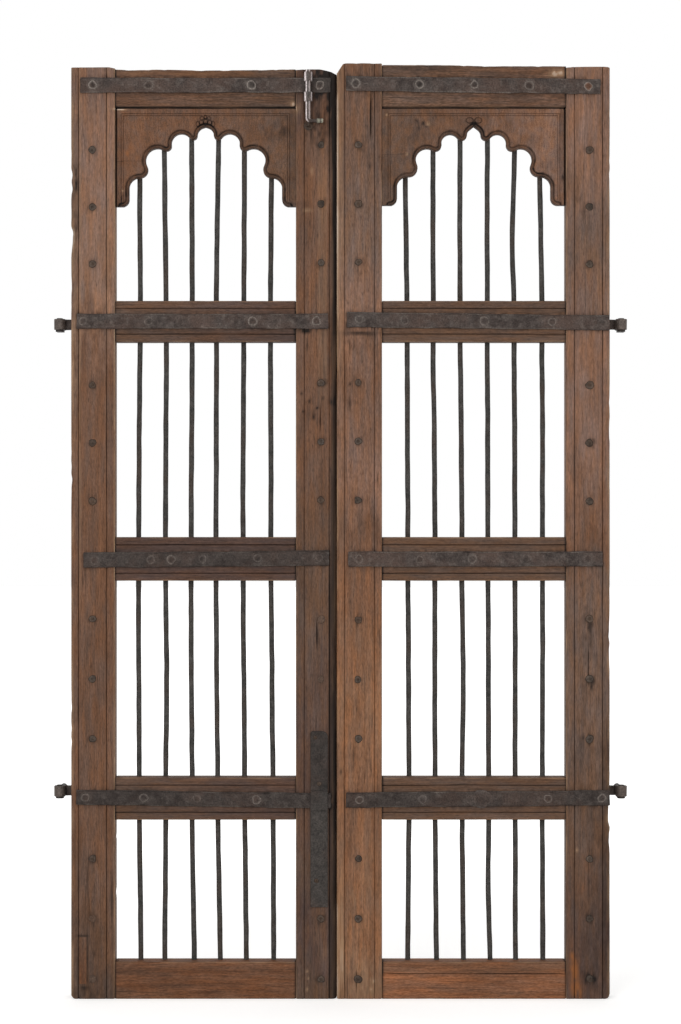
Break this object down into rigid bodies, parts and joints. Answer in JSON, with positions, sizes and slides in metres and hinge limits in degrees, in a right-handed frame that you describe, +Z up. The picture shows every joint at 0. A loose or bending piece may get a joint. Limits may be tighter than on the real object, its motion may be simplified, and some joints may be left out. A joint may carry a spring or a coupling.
{
  "type": "double gate",
  "caption": "Tall double-leaf teak gate with iron bars, cusped arch boards, nailed iron straps, back hinge eyes on wall pintles and a sliding bolt.",
  "frame": {"origin": "ground line under the leaves, midway between the two hinge axes and on their plane", "axes": "+Z up along the hinge axes, +X across the gate from the left leaf to the right leaf, -Y towards the front with the straps and the bolt, +Y into the wall"},
  "size_m": [1.299, 0.1528, 2.106],
  "materials": {
    "aged_teak": "dry, worn and waxed old teak",
    "pale_teak": "paler let-in repair of teak",
    "strap_iron": "forged flat iron with brown-grey patina",
    "bar_iron": "round drawn iron, dull and darkened",
    "nail_iron": "forged nail heads, worn at the crown",
    "bolt_steel": "worn bare steel with rust in the hollows"
  },
  "bodies": {
    "pintles": {"left_lower_pintle": "strap_iron", "left_upper_pintle": "strap_iron", "right_lower_pintle": "strap_iron", "right_upper_pintle": "strap_iron"},
    "left_leaf": {"left_hinge_stile": "aged_teak", "left_meeting_stile": "aged_teak", "left_bottom_rail": "aged_teak", "left_lower_rail": "aged_teak", "left_middle_rail": "aged_teak", "left_upper_rail": "aged_teak", "left_top_rail": "aged_teak", "left_arch_board": "aged_teak", "left_bar_1": "bar_iron", "left_bar_2": "bar_iron", "left_bar_3": "bar_iron", "left_bar_4": "bar_iron", "left_bar_5": "bar_iron", "left_bar_6": "bar_iron", "left_lower_strap": "strap_iron", "left_middle_strap": "strap_iron", "left_upper_strap": "strap_iron", "left_top_strap": "strap_iron", "left_strap_nails": "nail_iron", "left_stile_nails": "nail_iron", "left_lower_hinge": "strap_iron", "left_upper_hinge": "strap_iron", "left_hinge_nails": "nail_iron", "stile_patch": "pale_teak", "long_plate": "strap_iron", "plate_nails": "nail_iron", "bolt_staples": "bolt_steel", "bolt_stop": "strap_iron"},
    "right_leaf": {"right_hinge_stile": "aged_teak", "right_meeting_stile": "aged_teak", "right_bottom_rail": "aged_teak", "right_lower_rail": "aged_teak", "right_middle_rail": "aged_teak", "right_upper_rail": "aged_teak", "right_top_rail": "aged_teak", "right_arch_board": "aged_teak", "right_bar_1": "bar_iron", "right_bar_2": "bar_iron", "right_bar_3": "bar_iron", "right_bar_4": "bar_iron", "right_bar_5": "bar_iron", "right_bar_6": "bar_iron", "right_lower_strap": "strap_iron", "right_middle_strap": "strap_iron", "right_upper_strap": "strap_iron", "right_top_strap": "strap_iron", "right_strap_nails": "nail_iron", "right_stile_nails": "nail_iron", "right_lower_hinge": "strap_iron", "right_upper_hinge": "strap_iron", "right_hinge_nails": "nail_iron"},
    "bolt": {"bolt_rod": "bolt_steel"}
  },
  "joints": [
    {"name": "left_leaf_swing", "type": "hinge", "parent": "pintles", "child": "left_leaf", "pos_m": [-0.6365, 0, 0.99225], "axis": [0, 0, -1], "range_deg": [0, 105]},
    {"name": "right_leaf_swing", "type": "hinge", "parent": "pintles", "child": "right_leaf", "pos_m": [0.6365, 0, 0.99225], "axis": [0, 0, 1], "range_deg": [0, 105]},
    {"name": "bolt_slide", "type": "slide", "parent": "left_leaf", "child": "bolt", "axis": [0, 0, 1], "range_m": [0, 0.038]}
  ]
}
